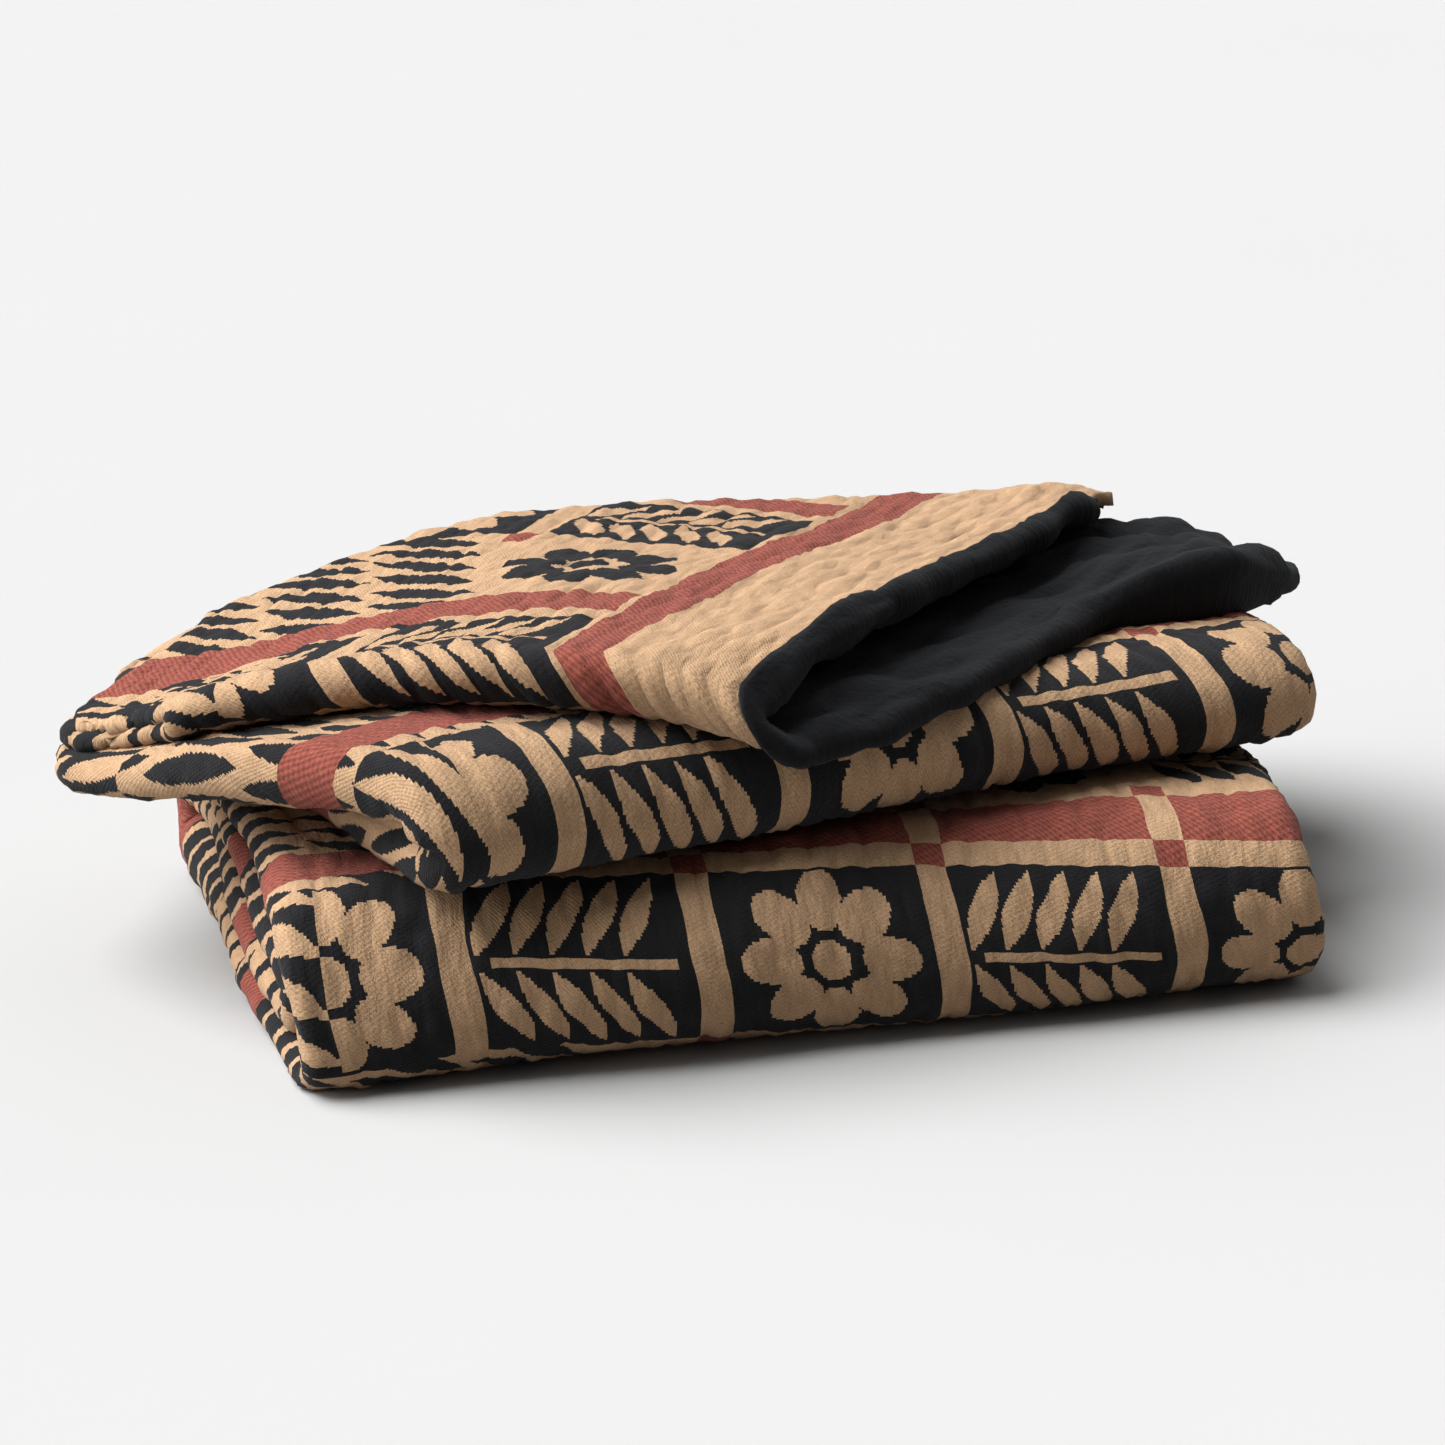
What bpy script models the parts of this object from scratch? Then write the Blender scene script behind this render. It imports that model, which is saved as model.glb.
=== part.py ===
"""A folded quilt. One long strip of cloth, its two sides folded under, lies back and forth in eight plies.

Metres, +Z up. The cloth is first laid in neat flat plies, measured from the front left corner of the pile.
A few smooth moves then settle it into its uneven shape, and the pile is centred over the origin.
"""

import math

import bmesh
import bpy
from mathutils import Vector

# Cloth: the thickness of the quilted cloth and of its backing, and the slits between them
CLOTH = 0.0074
BACKING = 0.0026
SLIT = 0.0007
BACKING_SLIT = 0.0007
SECTION_SLIT = 0.0025

# Half the distance between the upper and the lower layer of a strip, from pressed flat to loose
TIGHT = 0.0081
LOOSE = 0.0180
EASY = 0.0095
THIN = 0.0041

# Plies from the floor up. Columns: name, half distance, then the plan corners (x, y) of the strip
# as front left, front right, back left, back right
PLIES = (
    ("base", TIGHT, (0.012, 0.045), (0.528, 0.045), (0.012, 0.328), (0.528, 0.328)),
    ("inner_low", TIGHT, (0.013, 0.068), (0.526, 0.068), (0.013, 0.328), (0.526, 0.328)),
    ("inner_high", TIGHT, (0.013, 0.068), (0.526, 0.068), (0.013, 0.310), (0.526, 0.310)),
    ("lower_top", TIGHT, (0.013, 0.064), (0.528, 0.062), (0.012, 0.322), (0.528, 0.322)),
    ("middle_low", LOOSE, (0.084, 0.034), (0.549, 0.146), (0.010, 0.322), (0.532, 0.330)),
    ("middle_top", EASY, (0.078, 0.034), (0.556, 0.146), (-0.012, 0.328), (0.540, 0.332)),
    ("flap_under", THIN, (-0.013, 0.170), (0.262, 0.028), (0.022, 0.318), (0.580, 0.306)),
    ("flap_top", THIN, (-0.013, 0.170), (0.236, 0.030), (0.030, 0.318), (0.528, 0.318)),
)
# The way of the cloth through the plies, with the side on which each turns into the next
PATH = (
    "inner_high",
    "inner_low",
    "base",
    "lower_top",
    "middle_low",
    "middle_top",
    "flap_under",
    "flap_top",
)
TURNS = ("front", "back", "front", "back", "front", "back", "front")
BIG_ROLL = 0.05

# The right edge of the flap's lower ply stands out in a lobe. Columns: share from front to back, reach
LOBE_PLY = "flap_under"
LOBE = (
    (0.0, 0.0),
    (0.10, 0.018),
    (0.25, 0.034),
    (0.50, 0.036),
    (0.60, 0.086),
    (0.70, 0.090),
    (0.80, 0.078),
    (0.90, 0.044),
    (1.0, 0.0),
)

# How finely the cloth is divided: columns on each side of a strip, rows on a ply, steps round turns and edges
WING_COLUMNS = 4
PLY_ROWS = {"flap_under": 9, "flap_top": 5}
FEWEST_ROWS = 3
TURN_ROWS = 3
ROLL_ROWS = 5
EDGE_STEPS = 3
INNER_EDGE_STEPS = 2

# Under the strip its two sides meet along the middle
MEET = 0.0082
MEET_BULGE = 0.0040
BACKING_REACH = 0.006

# The settling moves: how far each goes, and between which places (as start, end) it grows
FAN = 0.019
FAN_X = (-0.01, 0.12)
FAN_Y = (0.0, 0.26)
MOUTH_LIFT = 0.014
MOUTH_X = (0.08, 0.34)
MOUTH_Y = (0.005, 0.085)
MOUTH_END_X = (0.44, 0.56)
MOUTH_END_SHARE = 0.7
MOUTH_BLEND = 0.004
FLAP_DROP = 0.020
FLAP_DROP_BEYOND = (0.0, 0.080)
FLAP_DROP_BLEND = 0.001
# The left end of the upper plies stands out in a tip. Columns: ply, push, middle, spread in front and behind
TIPS = {
    "middle_top": (0.092, 0.210, 0.150, 0.080),
    "flap": (0.070, 0.245, 0.055, 0.050),
}
TIP_X = (-0.02, 0.22)
TIP_RISE = (0.036, 0.047)
SWELL = 0.016
SWELL_X = (-0.02, 0.13)
CORNER_PUFF = 0.012
CORNER_RIDGE = 0.0045
RIDGE_PITCH = 0.044
RIDGE_Y = 0.165
CORNER_X = (0.44, 0.52)
CORNER_DROP = 0.022
CORNER_DROP_X = (0.545, 0.600)
RIGHT_PRESS = 0.18
RIGHT_PRESS_X = (0.05, 0.50)
BACK_PRESS = 0.08
BACK_PRESS_Y = (0.05, 0.35)
CORNER_PRESS = 0.20
CORNER_PRESS_X = (0.44, 0.58)
CORNER_PRESS_Y = (0.14, 0.30)
LEFT_DROOP = 0.54
LEFT_DROOP_X = (-0.08, 0.185)
LEFT_DROOP_Y = (0.04, 0.24)
OVERHANG_DROOP = 0.012
OVERHANG_X = (-0.09, 0.0)
WAVE = 0.0022
# Waves along the sides. Columns: turns per metre of the level and of the height, in radians, and the start
SIDEWAYS_WAVES = ((19.0, 55.0, 0.0), (31.0, -40.0, 1.0))
FORTH_WAVES = ((13.0, 35.0, 0.0), (23.0, -28.0, 2.0))

FACE_COLOR = (0.60, 0.43, 0.27, 1.0)
BACKING_COLOR = (0.012, 0.014, 0.022, 1.0)
CLOTH_ROUGHNESS = 0.9


def clear_scene():
    for found in list(bpy.data.objects):
        bpy.data.objects.remove(found)


def ease(value, span):
    """0 up to the start of the span, 1 from its end on, and smooth between."""
    start, end = span
    share = min(1.0, max(0.0, (value - start) / (end - start)))
    return share * share * (3.0 - 2.0 * share)


def stack_heights():
    """The middle height of each ply, when each lies on the one below."""
    heights = {}
    top = 0.0
    for name, half, *_ in PLIES:
        gap = SECTION_SLIT if name in ("middle_low", "flap_under") else SLIT
        if name == "base":
            gap = 0.0
        reach = half + CLOTH / 2
        heights[name] = top + gap + reach
        top = heights[name] + reach
    return heights


HEIGHTS = stack_heights()
HALVES = {name: half for name, half, *_ in PLIES}
CORNERS = {name: corners for name, _, *corners in PLIES}
LOWER_SECTION_TOP = HEIGHTS["lower_top"] + TIGHT + CLOTH / 2
MIDDLE_TOP = HEIGHTS["middle_top"] + EASY + CLOTH / 2
FLAP_SPLIT = (HEIGHTS["flap_under"] + HEIGHTS["flap_top"]) / 2
MIDDLE_SPLIT = HEIGHTS["middle_low"] + LOOSE + CLOTH / 2
FLAP_RISE = (MIDDLE_TOP, MIDDLE_TOP + SECTION_SLIT)


def lobe_reach(share):
    """How far the lobe stands out at a share of the ply's depth, eased between the table's rows."""
    for (start, low), (end, high) in zip(LOBE, LOBE[1:]):
        if share <= end:
            return low + (high - low) * ease(share, (start, end))
    return LOBE[-1][1]


def ply_row(name, share):
    """Left and right end of a row across a ply, from its front at 0 to its back at 1."""
    front_left, front_right, back_left, back_right = [Vector((*c, HEIGHTS[name])) for c in CORNERS[name]]
    left, right = front_left.lerp(back_left, share), front_right.lerp(back_right, share)
    if name == LOBE_PLY:
        right += (right - left).normalized() * lobe_reach(share)
    return left, right


def outward(left, right, side):
    """The level direction that points out of the pile, square to a row."""
    along = (right - left).normalized()
    out = Vector((along.y, -along.x, 0.0)).normalized()
    return out if side == "front" else -out


def turn_rows(first, second, side, up):
    """The rows of a half round turn from one ply to the next, without its two ends."""
    edge = 0.0 if side == "front" else 1.0
    left_a, right_a = ply_row(first, edge)
    left_b, right_b = ply_row(second, edge)
    rise = HEIGHTS[second] - HEIGHTS[first]
    count = ROLL_ROWS if abs(rise) > BIG_ROLL else TURN_ROWS
    rows = []
    for step in range(1, count + 1):
        angle = math.pi * step / (count + 1)
        share = (1.0 - math.cos(angle)) / 2
        left = left_a.lerp(left_b, share)
        right = right_a.lerp(right_b, share)
        out = outward(left, right, side)
        bulge = out * (abs(rise) / 2 * math.sin(angle))
        facing = Vector((0, 0, up * math.cos(angle))) - out * (up * math.copysign(math.sin(angle), rise))
        half = HALVES[first] + (HALVES[second] - HALVES[first]) * share
        rows.append((left + bulge, right + bulge, facing, half))
    return rows


def cloth_rows():
    """Every row along the cloth, as left end, right end, facing direction and half distance.

    With them comes the place of the last row before the flap.
    """
    rows = []
    flap_start = 0
    for place, name in enumerate(PATH):
        to_front = place % 2 == 0
        up = -1.0 if to_front else 1.0
        if name == "flap_under":
            flap_start = len(rows) - TURN_ROWS - 1
        count = PLY_ROWS.get(name, FEWEST_ROWS) + 1
        for step in range(count + 1):
            share = step / count
            left, right = ply_row(name, 1.0 - share if to_front else share)
            rows.append((left, right, Vector((0, 0, up)), HALVES[name]))
        if place < len(TURNS):
            rows += turn_rows(name, PATH[place + 1], TURNS[place], up)
    return rows, flap_start


def columns(width):
    """Sideways places across a strip, close together where its two sides meet."""
    inner = width / 2 - MEET
    left = [inner * step / (WING_COLUMNS - 1) for step in range(WING_COLUMNS)]
    return left + [width - lat for lat in reversed(left)]


def arc(center_lat, center_off, radii, start, end, steps):
    """Points inside an arc with its own radius sideways and upwards, as (sideways, height, direction out)."""
    points = []
    for step in range(1, steps + 1):
        angle = math.radians(start + (end - start) * step / (steps + 1))
        way = (math.cos(angle), math.sin(angle))
        points.append((center_lat + radii[0] * way[0], center_off + radii[1] * way[1], way))
    return points


def strip_section(width, half):
    """The strip's middle line from the right inner hem over the top to the left inner hem.

    Each point is (sideways, height, direction to the face). With them come the numbers of points before the top
    and up to the end of the left wing.
    """
    lats = columns(width)
    left_side = lats[:WING_COLUMNS]
    right_side = lats[WING_COLUMNS:]
    up, down = (0.0, 1.0), (0.0, -1.0)
    meeting = (MEET_BULGE, half / 2)
    points = [(lat, 0.0, up) for lat in reversed(right_side)]
    points += arc(right_side[0], -half / 2, meeting, 90, 270, INNER_EDGE_STEPS)
    points += [(lat, -half, down) for lat in right_side]
    points += arc(width, 0.0, (half, half), -90, 90, EDGE_STEPS)
    before_top = len(points)
    points += [(lat, half, up) for lat in reversed(lats)]
    points += arc(0.0, 0.0, (half, half), 90, 270, EDGE_STEPS)
    points += [(lat, -half, down) for lat in left_side]
    flap_end = len(points)
    points += arc(left_side[-1], -half / 2, meeting, -90, 90, INNER_EDGE_STEPS)
    points += [(lat, 0.0, up) for lat in reversed(left_side)]
    return points, before_top, flap_end


def placed(row, lat, off):
    left, right, facing, _ = row
    return left + (right - left).normalized() * lat + facing * off


def middle_front(x):
    """How far back the front fold line of the middle section lies."""
    (left_x, left_y), (right_x, right_y) = CORNERS["middle_top"][:2]
    return left_y + (right_y - left_y) * (x - left_x) / (right_x - left_x)


def fan_lower_section(x, y, z):
    """At the lower section's left end the folds run together in front and spread at the back."""
    if z >= LOWER_SECTION_TOP:
        return x, y, z
    near_end = 1.0 - ease(x, FAN_X)
    tilt = FAN * (2.0 * ease(y, FAN_Y) - 1.0)
    return x, y, z + near_end * tilt * math.sin(math.pi * z / LOWER_SECTION_TOP)


def lift_mouth(x, y, z):
    """The flap's upper side stands a little open at its right end."""
    open_share = ease(x, MOUTH_X) * ease(y, MOUTH_Y) * (1.0 - MOUTH_END_SHARE * ease(x, MOUTH_END_X))
    upper = ease(z, (FLAP_SPLIT - MOUTH_BLEND, FLAP_SPLIT + MOUTH_BLEND))
    return x, y, z + MOUTH_LIFT * open_share * upper


def drop_flap_front(x, y, z):
    """The front of the flap hangs over the roll of the middle section."""
    beyond = middle_front(x) - y
    flap = ease(z, (MIDDLE_TOP, MIDDLE_TOP + FLAP_DROP_BLEND))
    return x, y, z - FLAP_DROP * ease(beyond, FLAP_DROP_BEYOND) * flap


def tip_bump(name, y):
    push, middle, before, behind = TIPS[name]
    spread = before if y < middle else behind
    return push * math.exp(-(((y - middle) / spread) ** 2))


def push_tip(x, y, z):
    """The left end of the upper plies stands out over the lower section."""
    flap = ease(z, FLAP_RISE)
    push = tip_bump("flap", y) * flap + tip_bump("middle_top", y) * (1.0 - flap)
    return x - push * (1.0 - ease(x, TIP_X)) * ease(z - LOWER_SECTION_TOP, TIP_RISE), y, z


def swell_tip(x, y, z):
    """Towards the tip the upper ply of the middle section is fuller and the lower one flatter."""
    if not LOWER_SECTION_TOP < z < MIDDLE_TOP:
        return x, y, z
    if z < MIDDLE_SPLIT:
        share = (z - LOWER_SECTION_TOP) / (MIDDLE_SPLIT - LOWER_SECTION_TOP)
    else:
        share = (MIDDLE_TOP - z) / (MIDDLE_TOP - MIDDLE_SPLIT)
    near_end = 1.0 - ease(x, SWELL_X)
    return x, y, z - SWELL * near_end * math.sin(math.pi / 2 * share)


def puff_corner(x, y, z):
    """The lobe of the flap's lower ply lies in soft ridges and hangs over the right end."""
    flap = ease(z, FLAP_RISE)
    ridge = CORNER_RIDGE * math.sin(2 * math.pi * (y - RIDGE_Y) / RIDGE_PITCH)
    lift = (CORNER_PUFF + ridge) * ease(x, CORNER_X)
    return x, y, z + (lift - CORNER_DROP * ease(x, CORNER_DROP_X)) * flap


def press_upper(x, y, z):
    """The sections above the lower one lie flatter to the right, at the back and over the left end."""
    above = z - LOWER_SECTION_TOP
    if above <= 0.0:
        return x, y, z
    share = 1.0 - RIGHT_PRESS * ease(x, RIGHT_PRESS_X) - BACK_PRESS * ease(y, BACK_PRESS_Y)
    share -= LEFT_DROOP * (1.0 - ease(x, LEFT_DROOP_X)) * ease(y, LEFT_DROOP_Y)
    share -= CORNER_PRESS * ease(x, CORNER_PRESS_X) * ease(y, CORNER_PRESS_Y)
    sag = OVERHANG_DROOP * (1.0 - ease(x, OVERHANG_X))
    return x, y, LOWER_SECTION_TOP + above * share - sag


def wave(waves, level, height):
    return WAVE * sum(math.sin(a * level + b * height + start) for a, b, start in waves)


def wave_sides(x, y, z):
    """The folds are never quite straight."""
    return x + wave(SIDEWAYS_WAVES, y, z), y + wave(FORTH_WAVES, x, z), z


SETTLING = (
    fan_lower_section,
    lift_mouth,
    drop_flap_front,
    push_tip,
    swell_tip,
    puff_corner,
    press_upper,
    wave_sides,
)


def settled(point):
    x, y, z = point
    for move in SETTLING:
        x, y, z = move(x, y, z)
    return Vector((x, y, z))


def skins(row, points, thickness):
    """The face and the back of the cloth along one row."""
    face = []
    back = []
    for lat, off, (out_lat, out_off) in points:
        reach = thickness / 2
        face.append(settled(placed(row, lat + out_lat * reach, off + out_off * reach)))
        back.append(settled(placed(row, lat - out_lat * reach, off - out_off * reach)))
    return face, back


def add_row(mesh, row, points, thickness):
    face, back = skins(row, points, thickness)
    return [mesh.verts.new(place) for place in face], [mesh.verts.new(place) for place in back]


def add_facet(mesh, a, b, c, d):
    """A four sided facet as two triangles, always cut from its first corner, so that skins stay parallel."""
    mesh.faces.new((a, b, c))
    mesh.faces.new((a, c, d))


def bridge(mesh, before, after, first, last):
    """Walls of the cloth between two rows, from one point of the section to another, with its two edges."""
    for skin in (0, 1):
        near, far = before[skin], after[skin]
        for step in range(first, last):
            add_facet(mesh, near[step], near[step + 1], far[step + 1], far[step])
    for edge in (first, last):
        add_facet(mesh, before[0][edge], before[1][edge], after[1][edge], after[0][edge])


def cap(mesh, row, first, last):
    for step in range(first, last):
        add_facet(mesh, row[0][step], row[0][step + 1], row[1][step + 1], row[1][step])


def finish_object(mesh, name, color):
    loose = [vert for vert in mesh.verts if not vert.link_faces]
    bmesh.ops.delete(mesh, geom=loose, context="VERTS")
    bmesh.ops.recalc_face_normals(mesh, faces=mesh.faces)
    data = bpy.data.meshes.new(name)
    mesh.to_mesh(data)
    mesh.free()
    data.shade_smooth()
    made = bpy.data.objects.new(name, data)
    bpy.context.scene.collection.objects.link(made)
    material = bpy.data.materials.new(name)
    material.use_nodes = True
    shader = material.node_tree.nodes["Principled BSDF"]
    shader.inputs["Base Color"].default_value = color
    shader.inputs["Roughness"].default_value = CLOTH_ROUGHNESS
    data.materials.append(material)
    return made


def make_face():
    """The patterned cloth: all of the strip, and from the flap on only its upper side and its left edge."""
    mesh = bmesh.new()
    rows, flap_start = cloth_rows()
    made = []
    for row in rows:
        width = (row[1] - row[0]).length
        points, before_top, flap_end = strip_section(width, row[3])
        made.append(add_row(mesh, row, points, CLOTH))
    last = len(points) - 1
    for place in range(len(made) - 1):
        if place < flap_start:
            bridge(mesh, made[place], made[place + 1], 0, last)
        else:
            bridge(mesh, made[place], made[place + 1], before_top, flap_end - 1)
    cap(mesh, made[0], 0, last)
    cap(mesh, made[flap_start], 0, before_top)
    cap(mesh, made[flap_start], flap_end - 1, last)
    cap(mesh, made[-1], before_top, flap_end - 1)
    return finish_object(mesh, "quilt_face", FACE_COLOR)


def make_backing():
    """The plain cloth inside the open end of the flap, a little proud of the hem."""
    mesh = bmesh.new()
    rows, flap_start = cloth_rows()
    made = []
    for row in rows[flap_start + TURN_ROWS + 1 :]:
        width = (row[1] - row[0]).length
        off = row[3] - CLOTH / 2 - BACKING_SLIT - BACKING / 2
        lats = [width + BACKING_REACH]
        lats += reversed(columns(width)[WING_COLUMNS:])
        points = [(lat, off, (0.0, 1.0)) for lat in lats]
        made.append(add_row(mesh, row, points, BACKING))
    for before, after in zip(made, made[1:]):
        bridge(mesh, before, after, 0, WING_COLUMNS)
    for end in (made[0], made[-1]):
        cap(mesh, end, 0, WING_COLUMNS)
    return finish_object(mesh, "quilt_backing", BACKING_COLOR)


def centre(pieces):
    """Puts the middle of the pile over the origin, and its flat underside at z = 0."""
    places = [vert.co for piece in pieces for vert in piece.data.vertices]
    low = [min(place[axis] for place in places) for axis in range(3)]
    high = [max(place[axis] for place in places) for axis in range(3)]
    shift = Vector((-(low[0] + high[0]) / 2, -(low[1] + high[1]) / 2, -low[2]))
    for piece in pieces:
        for vert in piece.data.vertices:
            vert.co += shift


def main():
    clear_scene()
    centre((make_face(), make_backing()))


main()
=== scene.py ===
"""Looks of the folded quilt: three sections of one puckered woven cloth, its backing, and the stage."""

import math

import bmesh
import bpy
from bpy.props import FloatProperty, FloatVectorProperty, PointerProperty
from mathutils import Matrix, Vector, noise


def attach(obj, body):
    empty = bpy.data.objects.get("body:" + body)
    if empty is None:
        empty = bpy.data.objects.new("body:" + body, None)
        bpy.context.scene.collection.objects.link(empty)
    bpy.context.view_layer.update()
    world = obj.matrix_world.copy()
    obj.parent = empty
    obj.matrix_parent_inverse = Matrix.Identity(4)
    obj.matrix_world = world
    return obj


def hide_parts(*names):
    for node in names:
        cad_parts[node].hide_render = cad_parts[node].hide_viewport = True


bl_info = {
    "name": "Folded quilt",
    "version": (1, 0, 0),
    "blender": (4, 5, 0),
    "location": "3D View > Sidebar > Quilt",
    "description": "Builds the looks of a folded quilt on its solids",
    "category": "Object",
}

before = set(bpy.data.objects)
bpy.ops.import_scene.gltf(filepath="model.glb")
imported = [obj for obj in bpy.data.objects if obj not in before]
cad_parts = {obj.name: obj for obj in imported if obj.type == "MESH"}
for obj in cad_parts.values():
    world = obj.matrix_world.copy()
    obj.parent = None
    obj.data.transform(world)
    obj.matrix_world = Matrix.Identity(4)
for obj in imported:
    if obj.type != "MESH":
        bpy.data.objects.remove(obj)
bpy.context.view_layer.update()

# Cloth and slits, as in the solids
CLOTH = 0.0074
BACKING = 0.0026
SLIT = 0.0007
BACKING_SLIT = 0.0007
SECTION_SLIT = 0.0025

# Half the distance between the upper and the lower layer of a strip, from pressed flat to loose
TIGHT = 0.0081
LOOSE = 0.0180
EASY = 0.0095
THIN = 0.0041

# Plies from the floor up. Columns: name, half distance, then the plan corners (x, y) of the strip
# as front left, front right, back left, back right
PLIES = (
    ("base", TIGHT, (0.012, 0.045), (0.528, 0.045), (0.012, 0.328), (0.528, 0.328)),
    ("inner_low", TIGHT, (0.013, 0.068), (0.526, 0.068), (0.013, 0.328), (0.526, 0.328)),
    ("inner_high", TIGHT, (0.013, 0.068), (0.526, 0.068), (0.013, 0.310), (0.526, 0.310)),
    ("lower_top", TIGHT, (0.013, 0.064), (0.528, 0.062), (0.012, 0.322), (0.528, 0.322)),
    ("middle_low", LOOSE, (0.084, 0.034), (0.549, 0.146), (0.010, 0.322), (0.532, 0.330)),
    ("middle_top", EASY, (0.078, 0.034), (0.556, 0.146), (-0.012, 0.328), (0.540, 0.332)),
    ("flap_under", THIN, (-0.013, 0.170), (0.262, 0.028), (0.022, 0.318), (0.580, 0.306)),
    ("flap_top", THIN, (-0.013, 0.170), (0.236, 0.030), (0.030, 0.318), (0.528, 0.318)),
)
# From the first corner of the pile to the middle of its box
ORIGIN = Vector((-0.262263, -0.181332, 0.0))

# The right edge of the flap's lower ply stands out in a lobe. Columns: share from front to back, reach
LOBE_PLY = "flap_under"
LOBE = (
    (0.0, 0.0),
    (0.10, 0.018),
    (0.25, 0.034),
    (0.50, 0.036),
    (0.60, 0.086),
    (0.70, 0.090),
    (0.80, 0.078),
    (0.90, 0.044),
    (1.0, 0.0),
)

# Under the strip its two sides meet along the middle
MEET = 0.0082
MEET_BULGE = 0.0040

# The settling moves: how far each goes, and between which places (as start, end) it grows
FAN = 0.019
FAN_X = (-0.01, 0.12)
FAN_Y = (0.0, 0.26)
MOUTH_LIFT = 0.014
MOUTH_X = (0.08, 0.34)
MOUTH_Y = (0.005, 0.085)
MOUTH_END_X = (0.44, 0.56)
MOUTH_END_SHARE = 0.7
MOUTH_BLEND = 0.004
FLAP_DROP = 0.020
FLAP_DROP_BEYOND = (0.0, 0.080)
FLAP_DROP_BLEND = 0.001
# The left end of the upper plies stands out in a tip. Columns: ply, push, middle, spread before and behind
TIPS = {
    "middle_top": (0.092, 0.210, 0.150, 0.080),
    "flap": (0.070, 0.245, 0.055, 0.050),
}
TIP_X = (-0.02, 0.22)
TIP_RISE = (0.036, 0.047)
SWELL = 0.016
SWELL_X = (-0.02, 0.13)
CORNER_PUFF = 0.019
CORNER_RIDGE = 0.0045
RIDGE_PITCH = 0.044
RIDGE_Y = 0.165
CORNER_X = (0.44, 0.52)
CORNER_DROP = 0.022
CORNER_DROP_X = (0.558, 0.596)
LOBE_SWELL = 0.007
LOBE_SWELL_X = (0.515, 0.555)
RIGHT_PRESS = 0.18
RIGHT_PRESS_X = (0.05, 0.50)
BACK_PRESS = 0.08
BACK_PRESS_Y = (0.05, 0.35)
CORNER_PRESS = 0.20
CORNER_PRESS_X = (0.44, 0.58)
CORNER_PRESS_Y = (0.14, 0.30)
LEFT_DROOP = 0.54
LEFT_DROOP_X = (-0.08, 0.185)
LEFT_DROOP_Y = (0.04, 0.24)
OVERHANG_DROOP = 0.012
OVERHANG_X = (-0.09, 0.0)
WAVE = 0.0022
# Waves along the sides. Columns: turns per metre of the level and of the height, in radians, and the start
SIDEWAYS_WAVES = ((19.0, 55.0, 0.0), (31.0, -40.0, 1.0))
FORTH_WAVES = ((13.0, 35.0, 0.0), (23.0, -28.0, 2.0))

# Sections of the cloth. Columns: name, its plies along the cloth
SECTIONS = (
    ("quilt_lower", ("inner_high", "inner_low", "base", "lower_top")),
    ("quilt_middle", ("middle_low", "middle_top")),
    ("quilt_flap", ("flap_under", "flap_top")),
)
# How each ply is divided. Columns: ply, step at its front, step at its back, depth of the fine part
ROW_STEPS = {
    "base": (0.0040, 0.0090, 0.020),
    "inner_low": (0.0100, 0.0100, 0.010),
    "inner_high": (0.0100, 0.0100, 0.010),
    "lower_top": (0.0032, 0.0080, 0.120),
    "middle_low": (0.0036, 0.0090, 0.030),
    "middle_top": (0.0034, 0.0090, 0.110),
    "flap_under": (0.0045, 0.0070, 0.060),
    "flap_top": (0.0034, 0.0034, 0.100),
}
# The turns between plies: length of a step, and the fewest steps
FINE_TURN = 0.0033
LEAST_TURN_STEPS = 4

# How finely a strip is divided sideways: steps of its top, round its edges and where its sides meet
TOP_STEP = 0.0035
WIDEST = 0.56
EDGE_STEPS = 9
MEET_STEPS = 3
WING_STEP = 0.004
WING_FAR_STEP = 0.045
WING_FINE = 0.015
INNER_COLUMNS = 6

# The pattern, in metres of cloth: upright bars across it, and bands and rows of cells along it
BAR_PITCH = 0.126
BAR_WIDTH = 0.016
ROW = 0.072
BAND = 0.056
STRIPE_START = 0.010
STRIPE = 0.031
THIN_BAND = 0.016
REPEAT = 2 * ROW + BAND + THIN_BAND
BORDER = 0.105
BORDER_STRIPE = (0.074, 0.101)
YARN_STEP = 0.0012

# The round flower: its petals' distance from the middle, half length and half width, and its centre
PETALS = 8
PETAL_REACH = 0.0230
PETAL_LENGTH = 0.0118
PETAL_WIDTH = 0.0088
FLOWER_CENTRE = 0.0078
FLOWER_STRETCH = 1.35

# The sprig: leaf spacing, slant, how far its leaves stand off the stem, half length and half width, stem
LEAF_PITCH = 0.0180
LEAF_SLANT = 0.70
LEAF_REACH = 0.0178
LEAF_LENGTH = 0.0155
LEAF_WIDTH = 0.0072
STEM_WIDTH = 0.0016
STEM_REACH = 0.046
# Between which places the pairs stand, in leaf spacings from the middle of the stem
LEAF_PAIRS = (-3.6, 1.6)

# The leaves in files along the left side: where they start and end from the fold, in the dark rows and in
# the tan ones, the middle of a file, then their spacing, slant, length and width
SIDE_START = -0.114
SIDE_END_DARK = 0.008
SIDE_END_TAN = 0.134
SIDE_MIDDLE = -0.020
SIDE_PITCH = 0.0192
SIDE_SLANT = 0.45
SIDE_LENGTH = 0.031
SIDE_WIDTH = 0.0070

# Where each piece lies in the pattern. Columns: piece, shift across, shift along, skew of its rows
PATTERN_SHIFTS = {
    "quilt_lower": (0.060, 0.0745, 0.070),
    "quilt_middle": (0.080, 0.052, 0.0),
    "quilt_flap": (BORDER, 0.020, 0.0),
    "quilt_lining": (0.0, 0.0, 0.0),
}
# What a piece without a hem has in place of its distance from it
FAR_FROM_HEM = 1.0
# On this section the side leaves lie along the cloth, on the others across it
CROSS_LEAVES = "quilt_middle"

# The middle of the cloth stays this far above the floor
LOWEST = CLOTH / 2 + 0.0002

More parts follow.
